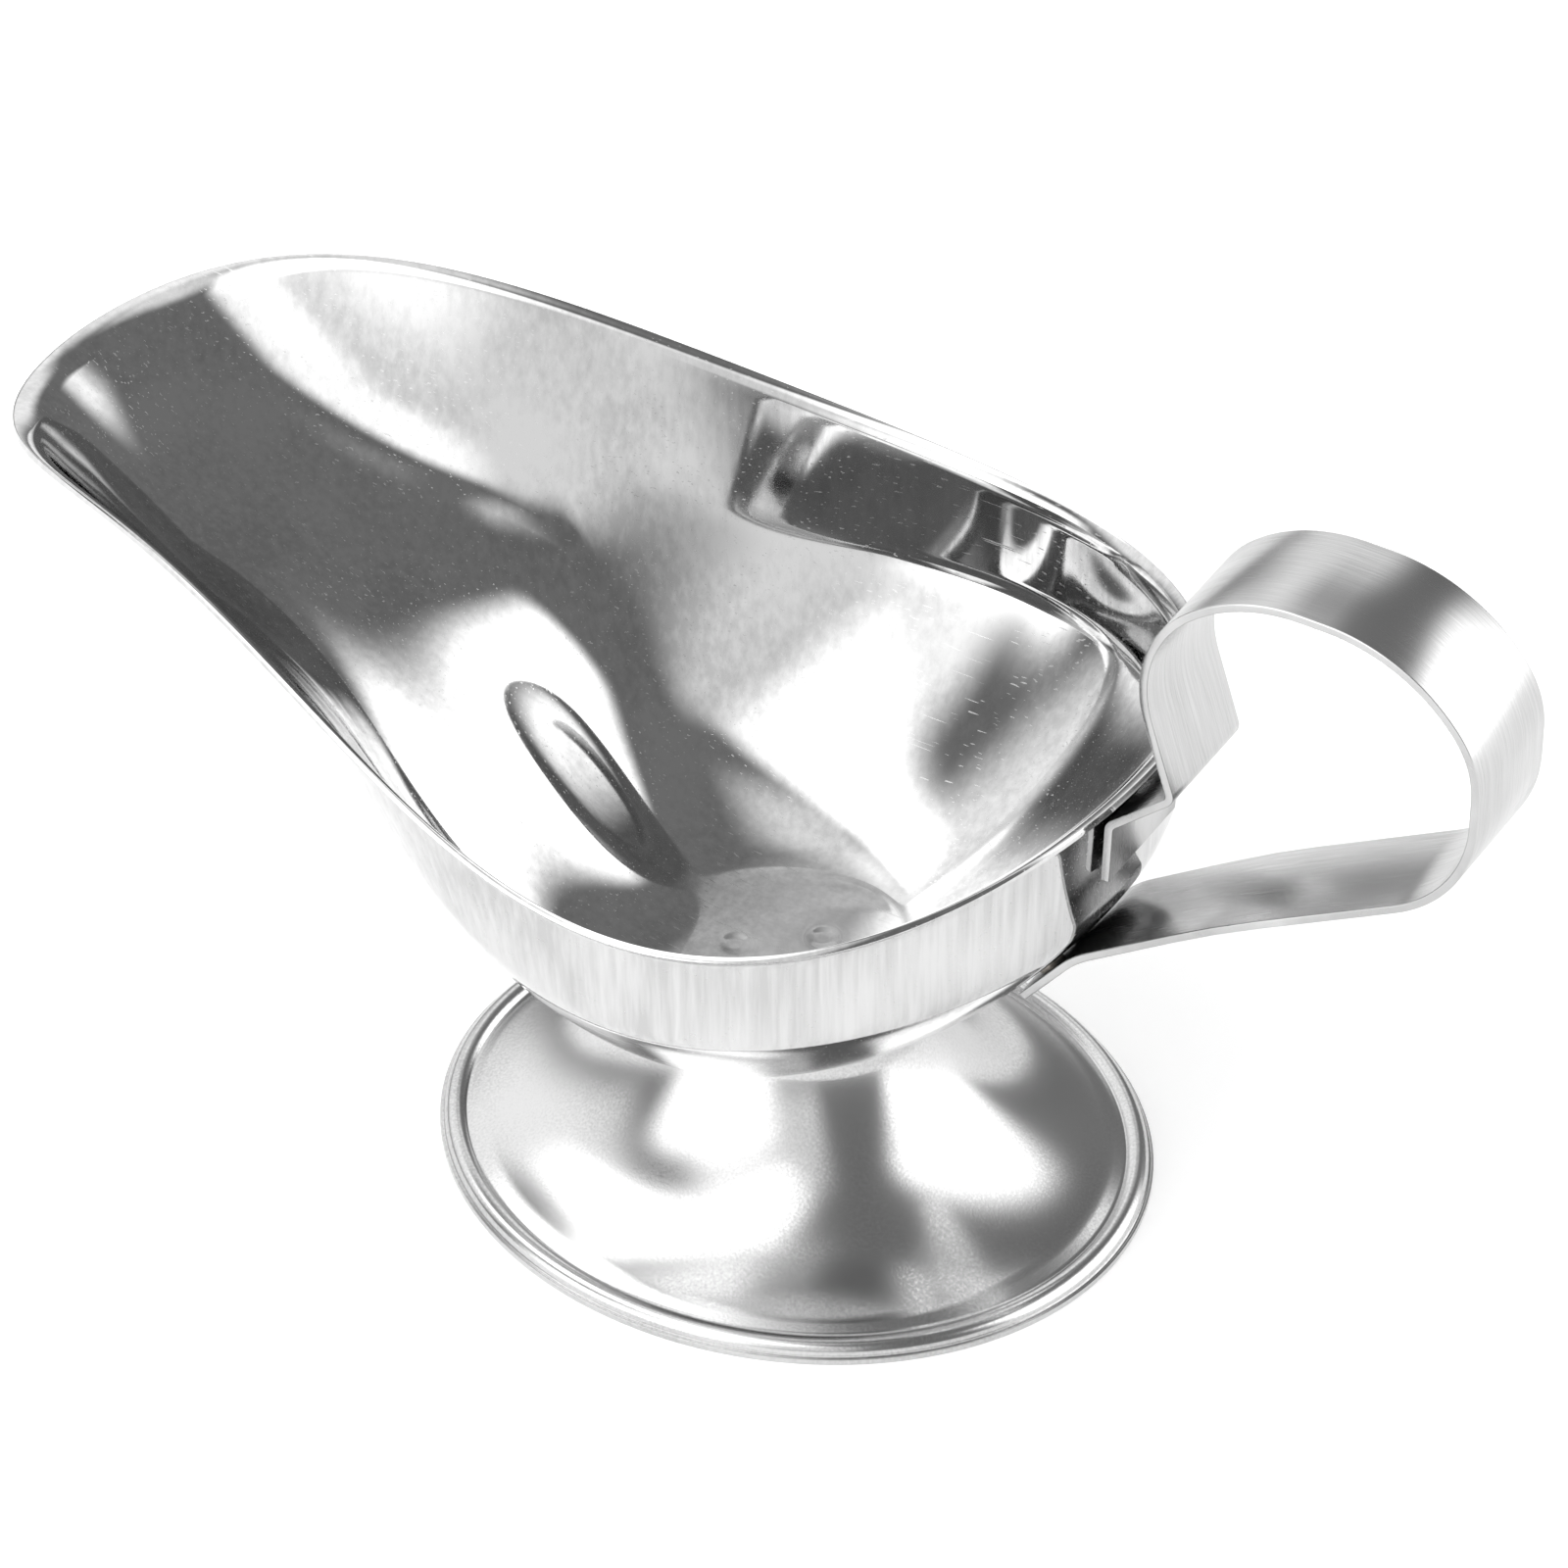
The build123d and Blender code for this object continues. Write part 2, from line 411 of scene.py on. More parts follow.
def sweep_odd(stations: Sequence[float], angle: float) -> float:
    """The same for a value that is zero at both ends and changes side there.

    Args:
        stations: Values at even steps from 0 to 180 degrees.
        angle: Sweep angle in radians.

    Returns:
        The value at that angle.
    """
    last = len(stations) - 1
    total = 0.0
    for order in range(1, last):
        share = 0.0
        for place, value in enumerate(stations):
            share += value * math.sin(math.pi * place * order / last)
        total += 2.0 / last * share * math.sin(order * angle)
    return total


@dataclass(frozen=True)
class Section:
    """The bowl's outer side at one sweep angle, as distance out and height.

    Attributes:
        foot: X and Y where the flat bottom ends.
        rim: X and Y of the rim.
        bottom_z: Height of the flat bottom.
        belly: Four control points of the belly's curve, the last at the crease.
        wall_top: Where the wall ends and the lip starts.
        lip_radius: Radius of the rolled lip.
        lean: Lean of the wall from upright, in radians.
        lip_end: Where the lip's roll stops, from upright, in radians.
        crease_reach: How far the crease's small radius reaches to each side.
        most_below: Largest share of the belly that this radius may take.
        most_above: Largest share of the wall that it may take.
    """

    foot: tuple[float, float]
    rim: tuple[float, float]
    bottom_z: float
    belly: tuple[tuple[float, float], ...]
    wall_top: tuple[float, float]
    lip_radius: float
    lean: float
    lip_end: float
    crease_reach: float
    most_below: float = 0.25
    most_above: float = 0.7

    def belly_point(self, share: float) -> Vector:
        """Finds the point at a share of the belly's curve.

        Args:
            share: 0 where the flat bottom ends, 1 at the crease.

        Returns:
            Distance out and height.
        """
        rest = 1 - share
        weights = (rest**3, 3 * share * rest**2, 3 * share**2 * rest, share**3)
        return sum((Vector(p) * w for p, w in zip(self.belly, weights)), Vector((0, 0)))

    def crease_shares(self) -> tuple[float, float]:
        """Works out how much of the belly and of the wall the crease's rounding takes.

        Returns:
            Share of the belly's curve and share of the straight wall.
        """
        crease, top = Vector(self.belly[3]), Vector(self.wall_top)
        below = self.crease_reach / (3 * (crease - Vector(self.belly[2])).length)
        above = self.crease_reach / (top - crease).length
        return min(below, self.most_below), min(above, self.most_above)

    def profile(self, level: float) -> Vector:
        """Distance out and height on the outer side.

        Args:
            level: -1 to 0 across the flat bottom, to 1 up the belly, to 2 up the wall,
                to 3 round the lip.

        Returns:
            Distance out from where the flat bottom ends, and height.
        """
        crease, top = Vector(self.belly[3]), Vector(self.wall_top)
        below, above = self.crease_shares()
        if level > 2:
            turn = self.lean + (self.lip_end - self.lean) * (level - 2)
            out = self.lip_radius * (math.cos(self.lean) - math.cos(turn))
            rise = self.lip_radius * (math.sin(turn) - math.sin(self.lean))
            return top + Vector((out, rise))
        if level > 1 + above:
            return crease.lerp(top, level - 1)
        if level > 1 - below:
            share = (level - 1 + below) / (above + below)
            start, end = self.belly_point(1 - below), crease.lerp(top, above)
            return start.lerp(crease, share).lerp(crease.lerp(end, share), share)
        return self.belly_point(level)

    def point(self, level: float) -> Vector:
        """Finds the place of the outer side at one level.

        Args:
            level: The same levels as for the profile.

        Returns:
            The place, in the frame's axes.
        """
        foot, rim = Vector(self.foot), Vector(self.rim)
        if level <= 0:
            spot = foot * (1 + level)
            return Vector((spot.x, spot.y, self.bottom_z))
        out, height = self.profile(level)
        spot = foot.lerp(rim, out / (rim - foot).length)
        return Vector((spot.x, spot.y, height))


@dataclass(frozen=True)
class Bowl:
    """The pressed bowl with its spout, rolled lip and cut rim.

    A tuple of stations runs from the handle (0 degrees) to the spout (180 degrees) at even
    steps. Lengths in stations are in millimetres and angles in degrees.

    Attributes:
        sheet: Thickness of the sheet.
        rim_rear: X of the rim at the handle.
        rim_tip: X of the spout's tip.
        rim_half_width: Y of the rim at each station.
        rim_height: Height of the rim.
        lip_radius: Radius of the rolled lip.
        lip_angle: Where the lip's roll stops, from upright.
        wall_lean: Lean of the wall from upright.
        band_depth: From the rim down to the crease.
        crease_bend: Turn of the outline at the crease.
        belly_low: Pull of the belly's curve at the bottom, as a share of its chord.
        belly_high: The same at the crease.
        bottom_r: Half length and half width of the flat bottom.
        crease_reach: How far the crease's small radius reaches to each side.
        rim_round: How far the cut rim is eased.
        around: Vertices in one ring.
        rings: Rings in the bottom, the belly, the crease, the wall and the lip.
        crease_margin: How far the crease's close rings go past its rounding.
        middle_level: Level of the innermost ring.
        dimple_r: Radius of the dent over each weld of the foot.
        dimple_depth: Depth of that dent.
        dimples: X and Y of those dents, in millimetres.
    """

    sheet: float = 0.8 * MM
    rim_rear: float = 45.8 * MM
    rim_tip: float = -99.3 * MM
    rim_half_width: tuple[float, ...] = (0.0, 27.9, 45.8, 42.8, 31.4, 19.7, 0.0)
    rim_height: tuple[float, ...] = (73.9, 69.3, 64.7, 70.1, 79.2, 77.2, 73.6)
    lip_radius: tuple[float, ...] = (3.3, 3.0, 3.3, 5.0)
    lip_angle: tuple[float, ...] = (76.0, 52.0, 75.0, 95.0)
    wall_lean: tuple[float, ...] = (2.7, 1.8, 39.0, 54.9)
    band_depth: tuple[float, ...] = (17.7, 13.1, 20.6, 8.1)
    crease_bend: tuple[float, ...] = (9.4, 27.9, 14.4, 13.9)
    belly_low: tuple[float, ...] = (0.20, 0.21, 0.52, 0.22)
    belly_high: tuple[float, ...] = (0.14, 0.15, 0.11, 0.69)
    bottom_r: tuple[float, float] = (10.8 * MM, 15.8 * MM)
    crease_reach: tuple[float, ...] = (1.3, 1.3, 5.0, 9.0)
    rim_round: float = 0.14 * MM
    around: int = 288
    rings: tuple[int, ...] = (30, 54, 14, 16, 14)
    crease_margin: float = 1.25
    middle_level: float = -0.99
    dimple_r: float = 1.7 * MM
    dimple_depth: float = 0.10 * MM
    dimples: tuple[tuple[float, float], ...] = ((8, 0), (-8, 0), (0, 6), (0, -6))

    def section(self, angle: float) -> Section:
        """Works out the section at one sweep angle.

        Args:
            angle: Sweep angle in radians.

        Returns:
            The section there.
        """
        bottom_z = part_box("bowl")[0].z
        foot = (self.bottom_r[0] * math.cos(angle), self.bottom_r[1] * math.sin(angle))
        rim_x = (self.rim_rear + self.rim_tip) / 2
        rim_x += (self.rim_rear - self.rim_tip) / 2 * math.cos(angle)
        rim = (rim_x, sweep_odd(self.rim_half_width, angle) * MM)
        rim_z = sweep_even(self.rim_height, angle) * MM
        lean = math.radians(sweep_even(self.wall_lean, angle))
        lip_end = math.radians(sweep_even(self.lip_angle, angle))
        lip_r = sweep_even(self.lip_radius, angle) * MM
        reach = math.dist(foot, rim)
        top = (
            reach - lip_r * (math.cos(lean) - math.cos(lip_end)),
            rim_z - lip_r * (math.sin(lip_end) - math.sin(lean)),
        )
        crease_z = rim_z - sweep_even(self.band_depth, angle) * MM
        crease = (top[0] - math.tan(lean) * (top[1] - crease_z), crease_z)
        under = lean + math.radians(sweep_even(self.crease_bend, angle))
        chord = math.hypot(crease[0], crease_z - bottom_z)
        low = sweep_even(self.belly_low, angle) * chord
        high = sweep_even(self.belly_high, angle) * chord
        shoulder = (crease[0] - high * math.sin(under), crease_z - high * math.cos(under))
        belly = ((0.0, bottom_z), (low, bottom_z), shoulder, crease)
        crease_reach = sweep_even(self.crease_reach, angle) * MM
        return Section(foot, rim, bottom_z, belly, top, lip_r, lean, lip_end, crease_reach)

    def levels(self, section: Section) -> list[float]:
        """Levels of the rings at one section, from the middle of the bottom to the rim.

        Args:
            section: The section that the rings cross.

        Returns:
            One level for each ring.
        """
        below, above = section.crease_shares()
        crease_start = 1 - self.crease_margin * below
        crease_end = 1 + self.crease_margin * above
        stops = (self.middle_level, 0.0, crease_start, crease_end, 2.0, 3.0)
        found = [stops[0]]
        for start, end, count in zip(stops, stops[1:], self.rings):
            found += [start + (end - start) * (step + 1) / count for step in range(count)]
        return found

    def build(self) -> bpy.types.Object:
        """Draws a flat dish of rings, pulls it up to shape and gives it its sheet.

        Returns:
            The bowl's mesh object.
        """
        ring_count = sum(self.rings) + 1
        bowl = start_ring("bowl_pressing", self.around, 1.0, 0.0)
        for ring in range(1, ring_count):
            extrude_ring((ring + 1) / ring, 0.0)
        bpy.ops.mesh.select_all(action="DESELECT")
        bpy.ops.object.mode_set(mode="OBJECT")
        self.pull_up(bowl)
        self.close_bottom(bowl)
        give_thickness(bowl, self.sheet, Side.INNER, self.rim_round, segments=2)
        return bowl

    def pull_up(self, bowl: bpy.types.Object) -> None:
        """Moves each vertex of the flat dish to its place on the outer side.

        Args:
            bowl: The dish, whose rings stand one unit apart.
        """
        sections: dict[int, tuple[Section, list[float]]] = {}
        for vertex in bowl.data.vertices:
            ring = round(math.hypot(vertex.co.x, vertex.co.y)) - 1
            turns = math.atan2(vertex.co.y, vertex.co.x) / FULL_TURN
            place = round(turns * self.around) % self.around
            if place not in sections:
                section = self.section(FULL_TURN * place / self.around)
                sections[place] = (section, self.levels(section))
            section, levels = sections[place]
            vertex.co = section.point(levels[ring])
            if levels[ring] < 0:
                vertex.co.z += self.dimple(vertex.co)

    def dimple(self, spot: Vector) -> float:
        """How far the sheet is dented by the welds under it.

        Args:
            spot: Place on the flat bottom.

        Returns:
            Change of height, downwards into the nearest dent.
        """
        nearest = min(math.dist(spot.xy, Vector(weld) * MM) for weld in self.dimples)
        return -self.dimple_depth * math.exp(-((nearest / self.dimple_r) ** 4))

    def close_bottom(self, bowl: bpy.types.Object) -> None:
        """Fills the small hole in the middle of the bottom and turns the faces outwards.

        Args:
            bowl: The bowl's outer side.
        """
        bpy.ops.object.mode_set(mode="EDIT")
        bpy.ops.mesh.select_mode(type="VERT")
        bpy.ops.object.mode_set(mode="OBJECT")
        hole_r = 2 * (1 + self.middle_level) * self.bottom_r[1]
        for vertex in bowl.data.vertices:
            vertex.select = math.hypot(vertex.co.x, vertex.co.y) < hole_r
        bpy.ops.object.mode_set(mode="EDIT")
        bpy.ops.mesh.edge_face_add()
        turn_outwards(bowl, End.BOTTOM)

    def dress(self, bowl: bpy.types.Object, polished: Steel) -> None:
        """Gives the bowl its mirror polish.

        Args:
            bowl: The finished mesh.
            polished: Finish of the whole sheet.
        """
        hand_over(bowl, polished, ["bowl"])


# --- foot ---------------------------------------------------------------------------


def arc_points(
    start: tuple[float, float],
    middle: tuple[float, float],
    end: tuple[float, float],
    steps: int,
) -> list[tuple[float, float]]:
    """Points on the arc through three points, without its start.

    Args:
        start: Where the arc starts.
        middle: A point that it passes.
        end: Where it ends.
        steps: How many points it gives.

    Returns:
        The points, the last at the arc's end.
    """
    (ax, ay), (bx, by), (cx, cy) = start, middle, end
    twice = 2 * (ax * (by - cy) + bx * (cy - ay) + cx * (ay - by))
    a2, b2, c2 = ax * ax + ay * ay, bx * bx + by * by, cx * cx + cy * cy
    ox = (a2 * (by - cy) + b2 * (cy - ay) + c2 * (ay - by)) / twice
    oy = (a2 * (cx - bx) + b2 * (ax - cx) + c2 * (bx - ax)) / twice
    radius = math.hypot(ax - ox, ay - oy)
    first = math.atan2(ay - oy, ax - ox)
    sweep = (math.atan2(cy - oy, cx - ox) - first + math.pi) % FULL_TURN - math.pi
    angles = [first + sweep * (step + 1) / steps for step in range(steps)]
    return [(ox + radius * math.cos(a), oy + radius * math.sin(a)) for a in angles]


def line_points(
    start: tuple[float, float], end: tuple[float, float], steps: int
) -> list[tuple[float, float]]:
    """Evenly spaced points on a straight line, without its start.

    Args:
        start: Where the line starts.
        end: Where it ends.
        steps: How many points it gives.

    Returns:
        The points, the last at the line's end.
    """
    across, up = end[0] - start[0], end[1] - start[1]
    shares = [(step + 1) / steps for step in range(steps)]
    return [(start[0] + across * share, start[1] + up * share) for share in shares]


@dataclass(frozen=True)
class Foot:
    """The oval pedestal: flange, bead, groove, hollow cone and neck.

    Attributes:
        sheet: Thickness of the sheet.
        flange: Width of the flat rim outside the bead.
        ground_off: How far the flange sinks into the table top, so that no gap shows.
        bead_r: Half width of the bead.
        bead_rise: Height of the bead over the flange.
        groove_z: Height of the groove inside the bead.
        cone_start: From the outer edge to where the cone starts.
        cone_start_z: Height where the cone starts.
        neck_r: Half length of the neck.
        neck_fillet: Radius between neck and flat top.
        cone_bow: Turn of the cone's outline from bottom to top, in degrees.
        edge_round: How far the sheet's edge is eased.
        around: Vertices in one ring.
    """

    sheet: float = 0.8 * MM
    flange: float = 0.5 * MM
    ground_off: float = 0.05 * MM
    bead_r: float = 1.35 * MM
    bead_rise: float = 1.6 * MM
    groove_z: float = 1.7 * MM
    cone_start: float = 5.0 * MM
    cone_start_z: float = 2.6 * MM
    neck_r: float = 16.0 * MM
    neck_fillet: float = 2.5 * MM
    cone_bow: float = 25.8
    edge_round: float = 0.14 * MM
    around: int = 240

    def outline(self) -> list[tuple[float, float]]:
        """Upper side of the sheet, from its outer edge to the flat top.

        Returns:
            Radius along X and height of each ring.
        """
        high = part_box("foot")[1]
        edge, top = high.x, high.z
        edge_z = self.sheet - self.ground_off
        bead_out = (edge - self.flange, edge_z)
        bead_in = (edge - self.flange - 2 * self.bead_r, self.groove_z)
        bead_top = (edge - self.flange - self.bead_r, edge_z + self.bead_rise)
        cone_foot = (edge - self.cone_start, self.cone_start_z)
        neck = (self.neck_r, top - self.neck_fillet)
        chord = Vector((cone_foot[0] - neck[0], neck[1] - cone_foot[1]))
        sag = chord.length / 2 * math.tan(math.radians(self.cone_bow) / 2)
        middle = (
            (cone_foot[0] + neck[0]) / 2 - sag * chord.y / chord.length,
            (cone_foot[1] + neck[1]) / 2 - sag * chord.x / chord.length,
        )
        corner_cut = self.neck_fillet * (1 - math.sqrt(0.5))
        shoulder = (self.neck_r - corner_cut, top - corner_cut)
        shoulder_end = (self.neck_r - self.neck_fillet, top)
        return [
            (edge, edge_z),
            *line_points((edge, edge_z), bead_out, 2),
            *arc_points(bead_out, bead_top, bead_in, 16),
            *line_points(bead_in, cone_foot, 4),
            *arc_points(cone_foot, middle, neck, 36),
            *arc_points(neck, shoulder, shoulder_end, 8),
            *line_points(shoulder_end, (shoulder_end[0] / 2, top), 2),
        ]

    def build(self) -> bpy.types.Object:
        """Extrudes ring after ring up the outline and gives the skin its sheet.

        Returns:
            The foot's mesh object.
        """
        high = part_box("foot")[1]
        outline = self.outline()
        foot = start_ring("foot_pressing", self.around, outline[0][0], outline[0][1])
        oval = (1, high.y / high.x, 1)
        bpy.ops.transform.resize(value=oval, center_override=(0, 0, 0))
        for (radius, height), (next_radius, next_height) in zip(outline, outline[1:]):
            extrude_ring(next_radius / radius, next_height - height)
        bpy.ops.mesh.edge_face_add()
        turn_outwards(foot, End.TOP)
        give_thickness(foot, self.sheet, Side.INNER, self.edge_round, segments=2)
        return foot

    def dress(self, foot: bpy.types.Object, satin: Steel) -> None:
        """Gives the foot its satin finish.

        Args:
            foot: The finished mesh.
            satin: The finish of the whole pressing.
        """
        hand_over(foot, satin, ["foot"])


# --- handle -------------------------------------------------------------------------


@dataclass(frozen=True)
class Handle:
    """The strip handle: tab on the rear wall, loop, and lower arm along the belly.

    Attributes:
        route: Corners of the centre line, X and Z in millimetres, with each bend's radius.
        thickness: Thickness of the strip.
        edge_round: How far the sheared edges are eased.
        turn_step: Largest turn between two cross-sections, in degrees.
    """

    route: tuple[tuple[tuple[float, float], float], ...] = (
        ((43.55, 62.4), 0.0),       # end of the tab
        ((43.85, 70.2), 1.6),       # out from the wall
        ((51.3, 76.9), 1.3),        # sharp turn up
        ((45.1, 96.6), 15.5),
        ((59.1, 107.8), 20.0),      # top of the loop
        ((78.4, 107.8), 20.0),
        ((87.6, 96.8), 12.5),
        ((87.4, 78.5), 17.5),       # back of the loop
        ((57.0, 61.2), 150.0),      # lower arm
        ((39.9, 49.5), 14.0),
        ((33.55, 41.4), 0.0),       # end along the belly
    )
    thickness: float = 1.0 * MM
    edge_round: float = 0.16 * MM
    turn_step: float = 3.0

    def centre_line(self) -> list[Vector]:
        """Points along the centre line: straight runs and round bends.

        Returns:
            X and Z of each point, from the tab to the lower end.
        """
        corners = [Vector(corner) * MM for corner, _ in self.route]
        line = [corners[0]]
        radii = [radius * MM for _, radius in self.route[1:]]
        for before, corner, after, radius in zip(corners, corners[1:], corners[2:], radii):
            inward, outward = (corner - before).normalized(), (after - corner).normalized()
            turn = inward.angle_signed(outward)
            cut = radius * math.tan(abs(turn) / 2)
            start = corner - inward * cut
            steps = max(2, math.ceil(abs(math.degrees(turn)) / self.turn_step))
            side = Vector((inward.y, -inward.x)) * math.copysign(1.0, turn)
            centre = start + side * radius
            for step in range(steps + 1):
                arm = (start - centre).copy()
                arm.rotate(Matrix.Rotation(-turn * step / steps, 2))
                line.append(centre + arm)
        line.append(corners[-1])
        return line

    def build(self) -> bpy.types.Object:
        """Draws the strip's first stretch and extrudes it along the centre line.

        Returns:
            The handle's mesh object.
        """
        low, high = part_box("handle")
        line = self.centre_line()
        lay_down_tools()
        bpy.ops.mesh.primitive_plane_add(size=high.y - low.y)
        handle = bpy.context.object
        handle.name = handle.data.name = "handle_strip"
        bpy.ops.object.mode_set(mode="EDIT")
        bpy.ops.mesh.select_mode(type="VERT")
        bpy.ops.object.mode_set(mode="OBJECT")
        for vertex in handle.data.vertices:
            end = line[1] if vertex.co.x > 0 else line[0]
            vertex.select = vertex.co.x > 0
            vertex.co.x, vertex.co.z = end
        for edge in handle.data.edges:
            edge.select = all(handle.data.vertices[v].select for v in edge.vertices)
        for face in handle.data.polygons:
            face.select = False
        bpy.ops.object.mode_set(mode="EDIT")
        for here, there in zip(line[1:], line[2:]):
            step = there - here
            bpy.ops.mesh.extrude_region_move(
                TRANSFORM_OT_translate={"value": (step.x, 0, step.y)}
            )
        bpy.ops.mesh.select_all(action="SELECT")
        bpy.ops.mesh.normals_make_consistent(inside=False)
        bpy.ops.object.mode_set(mode="OBJECT")
        give_thickness(handle, self.thickness, Side.BOTH, self.edge_round, segments=3)
        return handle

    def dress(self, handle: bpy.types.Object, satin: Steel) -> None:
        """Gives the strip its satin finish.

        Args:
            handle: The finished mesh.
            satin: Finish of the whole strip.
        """
        hand_over(handle, satin, ["handle"])


# --- welds --------------------------------------------------------------------------


@dataclass(frozen=True)
class SpotWelds:
    """The weld nuggets, which keep their CAD shapes.

    Attributes:
        nodes: The CAD nodes that hold them.
    """

    nodes: tuple[str, ...] = (
        "foot_spot_welds",
        "handle_upper_spot_welds",
        "handle_lower_spot_welds",
    )

    def dress(self, finish: Steel) -> None:
        """Gives all nuggets the weld's finish and reports them.

        Args:
            finish: The finish of a bare weld.
        """
        material = finish.make()
        for name in self.nodes:
            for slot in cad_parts[name].material_slots:
                slot.material = material
            LOG.info("%s: CAD shape, %s", name, finish.name)


# --- studio -------------------------------------------------------------------------


def direction(azimuth: float, elevation: float) -> Vector:
    """Turns two angles into a direction from the foot's centre.

    Args:
        azimuth: Degrees from the front towards the handle.
        elevation: Degrees above the table.

    Returns:
        The direction, one unit long.
    """
    turn, tilt = math.radians(azimuth), math.radians(elevation)
    level = math.cos(tilt)
    return Vector((math.sin(turn) * level, -math.cos(turn) * level, math.sin(tilt)))


@dataclass(frozen=True)
class SoftBox:
    """A soft-edged studio light that faces the middle of the table.

    Attributes:
        name: Where it hangs.
        azimuth: Degrees from the front towards the handle.
        elevation: Degrees above the table.
        width: How wide it looks from the table, in degrees.
        height: How tall it looks from the table, in degrees.
        brightness: Radiance at its middle, in watts per square metre and steradian.
        fade: Share of each half over which it fades out.
        distance: From the foot's centre to the light.
    """

    name: str
    azimuth: float
    elevation: float
    width: float
    height: float
    brightness: float
    fade: float = 0.5
    distance: float = 1.6

    def fade_edges(self, tree: bpy.types.NodeTree) -> None:
        """Makes the light fall off towards its edges, as a diffuser does.

        Args:
            tree: The light's node tree.
        """
        place = add_node(tree, "ShaderNodeNewGeometry").outputs["Parametric"]
        sides = add_node(tree, "ShaderNodeSeparateXYZ", {"Vector": place})
        shares = []
        for side in sides.outputs[:2]:
            off = add_node(tree, "ShaderNodeMath", {0: side, 1: 0.5}, operation="SUBTRACT")
            off = add_node(tree, "ShaderNodeMath", {0: off.outputs[0]}, operation="ABSOLUTE")
            shares.append(add_node(
                tree, "ShaderNodeMapRange",
                {"Value": off.outputs[0], "From Min": 0.5 - self.fade / 2, "From Max": 0.5,
                 "To Min": 1.0, "To Max": 0.0},
                interpolation_type="SMOOTHSTEP",
            ).outputs[0])
        strength = add_node(
            tree, "ShaderNodeMath", dict(enumerate(shares)), operation="MULTIPLY"
        )
        tree.links.new(strength.outputs[0], tree.nodes["Emission"].inputs["Strength"])

    def hang(self) -> None:
        """Adds the light to the scene."""
        away = direction(self.azimuth, self.elevation)
        data = bpy.data.lights.new(self.name, "AREA")
        data.shape = "RECTANGLE"
        data.size = 2 * self.distance * math.tan(math.radians(self.width) / 2)
        data.size_y = 2 * self.distance * math.tan(math.radians(self.height) / 2)
        data.energy = self.brightness * math.pi * data.size * data.size_y
        data.use_nodes = True
        self.fade_edges(data.node_tree)
        light = bpy.data.objects.new(self.name, data)
        light.location = away * self.distance
        light.rotation_euler = away.to_track_quat("Z", "Y").to_euler()
        bpy.context.scene.collection.objects.link(light)


@dataclass(frozen=True)
class Studio:
    """White table, soft lights and the camera.

    Attributes:
        azimuth: Where the camera stands, in degrees from the front towards the handle.
        elevation: Degrees that the camera looks down.
        distance: From the foot's centre to the camera.
        aim_right: How far the camera is moved to its right.
        aim_up: How far it is moved up.
        lens_mm: Its focal length.
        sensor_mm: Width of its sensor.
        room: Strength of the dim light from all sides.
        table_size: Side of the table top.
        table_glow: Light of its own that takes the table top's white close to paper.
        boxes: The soft boxes: large windows, and weaker ones that fill between them.
    """

    azimuth: float = 30.93
    elevation: float = 39.33
    distance: float = 1125.0 * MM
    aim_right: float = -1.35 * MM
    aim_up: float = 40.6 * MM
    lens_mm: float = 224.3
    sensor_mm: float = 36.0
    room: float = 0.22
    table_size: float = 4.0
    table_glow: float = 0.2
    boxes: tuple[SoftBox, ...] = (
        SoftBox("window_right", 119, 23, 84, 60, 2.6, 0.5),
        SoftBox("window_front_low", -24, 12, 76, 48, 2.5, 0.6),
        SoftBox("window_front_mid", -12, 36, 48, 24, 1.3, 0.8),
        SoftBox("window_front_high", -36, 56, 96, 34, 2.5, 0.6),
        SoftBox("fill_front", 21, 24, 40, 54, 0.8, 0.6),
        SoftBox("fill_left_rear", -152, 24, 40, 50, 1.1, 0.7),
        SoftBox("fill_left", -100, 38, 78, 76, 1.1, 0.6),
        SoftBox("fill_top", -60, 80, 70, 40, 0.9, 0.8),
    )

    def place_camera(self) -> None:
        """Sets the camera at its azimuth and elevation round the foot's centre."""
        back = direction(self.azimuth, self.elevation)
        right = direction(self.azimuth + 90, 0)
        up = back.cross(right)
        data = bpy.data.cameras.new("camera")
        data.lens = self.lens_mm
        data.sensor_width = self.sensor_mm
        camera = bpy.data.objects.new("camera", data)
        bpy.context.scene.collection.objects.link(camera)
        axes = Matrix((right, up, back)).transposed().to_4x4()
        spot = back * self.distance + right * self.aim_right + up * self.aim_up
        camera.matrix_world = Matrix.Translation(spot) @ axes
        bpy.context.scene.camera = camera

    def lay_floor(self) -> None:
        """Lays the white table top under the foot.

        Matt white laminate: it gives the eye an even, near-white ground with only a faint,
        soft shadow and no reflection of the object.
        """
        lay_down_tools()
        bpy.ops.mesh.primitive_plane_add(size=self.table_size)
        floor = bpy.context.object
        floor.name = "white_table"
        material = bpy.data.materials.new("white laminate, matt")
        material.use_nodes = True
        shader = material.node_tree.nodes["Principled BSDF"]
        shader.inputs["Base Color"].default_value = linear("F6F6F6")
        shader.inputs["Roughness"].default_value = 0.7
        shader.inputs["Emission Color"].default_value = linear("FFFFFF")
        shader.inputs["Emission Strength"].default_value = self.table_glow
        floor.data.materials.append(material)

    def hang_lights(self) -> None:
        """Hangs the soft boxes and fills the rest of the room with dim light."""
        for box in self.boxes:
            box.hang()
        world = bpy.data.worlds.new("grey room")
        world.use_nodes = True
        bpy.context.scene.world = world
        shader = world.node_tree.nodes["Background"]
        shader.inputs["Color"].default_value = linear("FFFFFF")
        shader.inputs["Strength"].default_value = self.room

    def build(self) -> None:
        """Sets up the camera, the table and the lights."""
        bpy.context.scene.view_settings.view_transform = "Standard"
        self.place_camera()
        self.lay_floor()
        self.hang_lights()


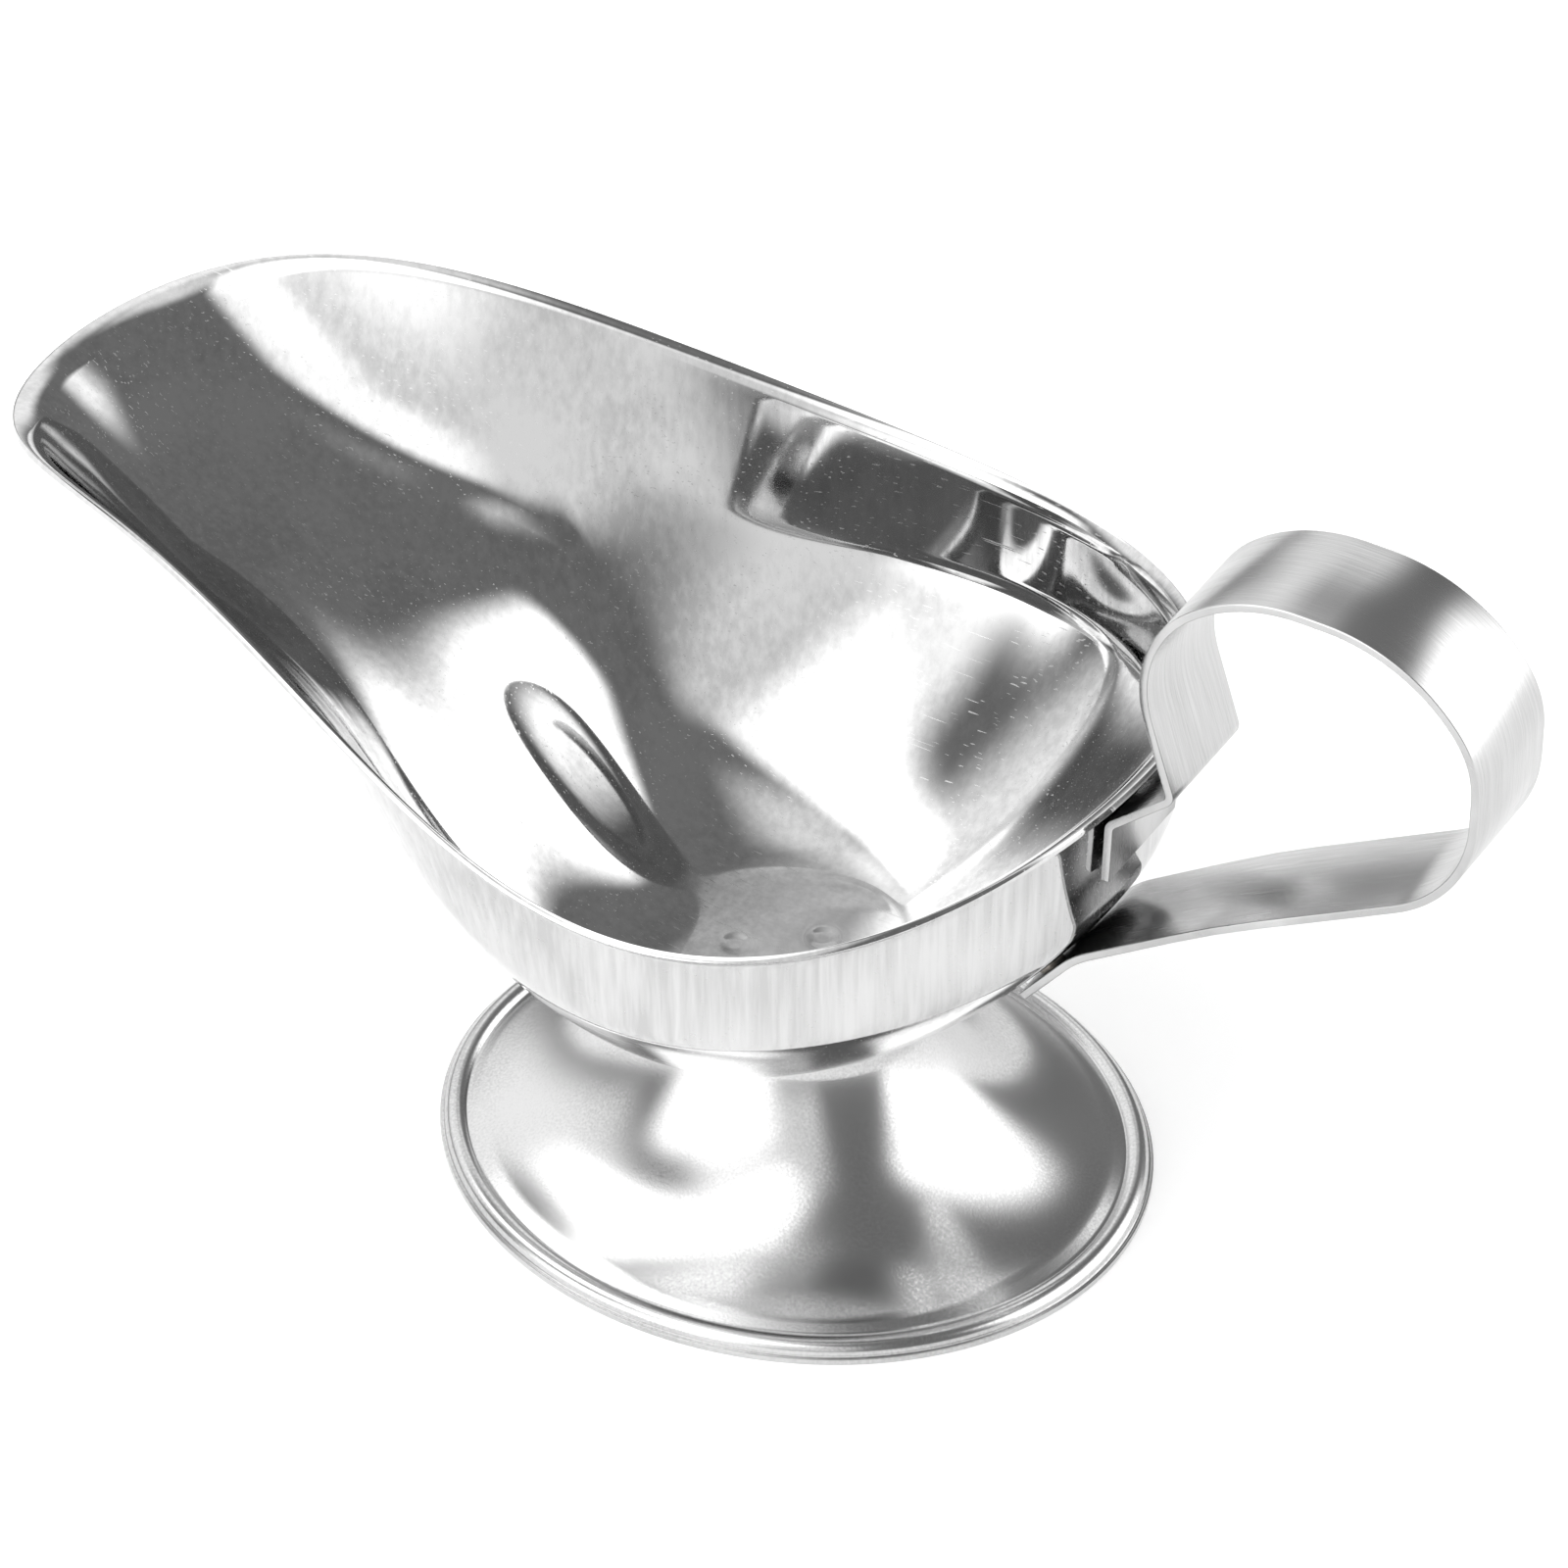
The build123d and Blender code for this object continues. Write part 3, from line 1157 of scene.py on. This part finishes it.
# --- finishes -----------------------------------------------------------------------

# Buffed sheet: sharp reflections of the room, bent a little by the slow waves that pressing
# leaves, with faint upright buffing lines and a few hairline scratches. The real buffing
# lines are some 0.1 mm apart and the real hairlines finer still, so both are drawn as coarse
# as they need to show.
POLISHED = Steel(
    "stainless steel, pressed and mirror polished",
    colour="D2D2D2",
    haze="BCBCBC",
    roughness=(0.035, 0.075),
    grain_mm=(1.0, 1.0, 16.0),
    grain_depth_mm=0.0005,
    wave_mm=16.0,
    wave_depth_mm=0.003,
    scratch_mm=(26.0, 0.22, 0.22),
)
# Pressed sheet tumbled with small stones: a soft, even sheen whose reflections blur within a
# few millimetres. The real pits are under 0.1 mm wide and are drawn coarser, to show.
FOOT_SATIN = Steel(
    "stainless steel, pressed and satin tumbled",
    colour="D0D0D0",
    haze="B8B8B8",
    roughness=(0.16, 0.24),
    grain_mm=(0.32, 0.32, 0.32),
    grain_depth_mm=0.005,
)
# Strip brushed along its length: a softer sheen than the foot's, with fine lines that run
# round the loop. The real lines are some 0.05 mm apart and are drawn coarser, to show.
STRIP_SATIN = Steel(
    "stainless strip, satin brushed",
    colour="C6C6C6",
    haze="B2B2B2",
    roughness=(0.2, 0.28),
    grain_mm=(9.0, 0.14, 9.0),
    grain_depth_mm=0.0012,
)
# Metal that melted and set under the electrodes, left as it came: dull, pitted and warmer
# than the sheet from its heat tint. The real pits are some 0.1 mm and are drawn coarser.
WELD = Steel(
    "stainless steel, spot weld",
    colour="A9A39C",
    haze="8C867F",
    roughness=(0.35, 0.5),
    grain_mm=(0.4, 0.4, 0.4),
    grain_depth_mm=0.02,
)


def main() -> None:
    """Builds the pieces in order and dresses them."""
    logging.basicConfig(level=logging.INFO, format="%(name)s %(message)s")
    Studio().build()
    bowl = Bowl()
    bowl.dress(bowl.build(), POLISHED)
    foot = Foot()
    foot.dress(foot.build(), FOOT_SATIN)
    handle = Handle()
    handle.dress(handle.build(), STRIP_SATIN)
    SpotWelds().dress(WELD)


if __name__ == "__main__":
    main()
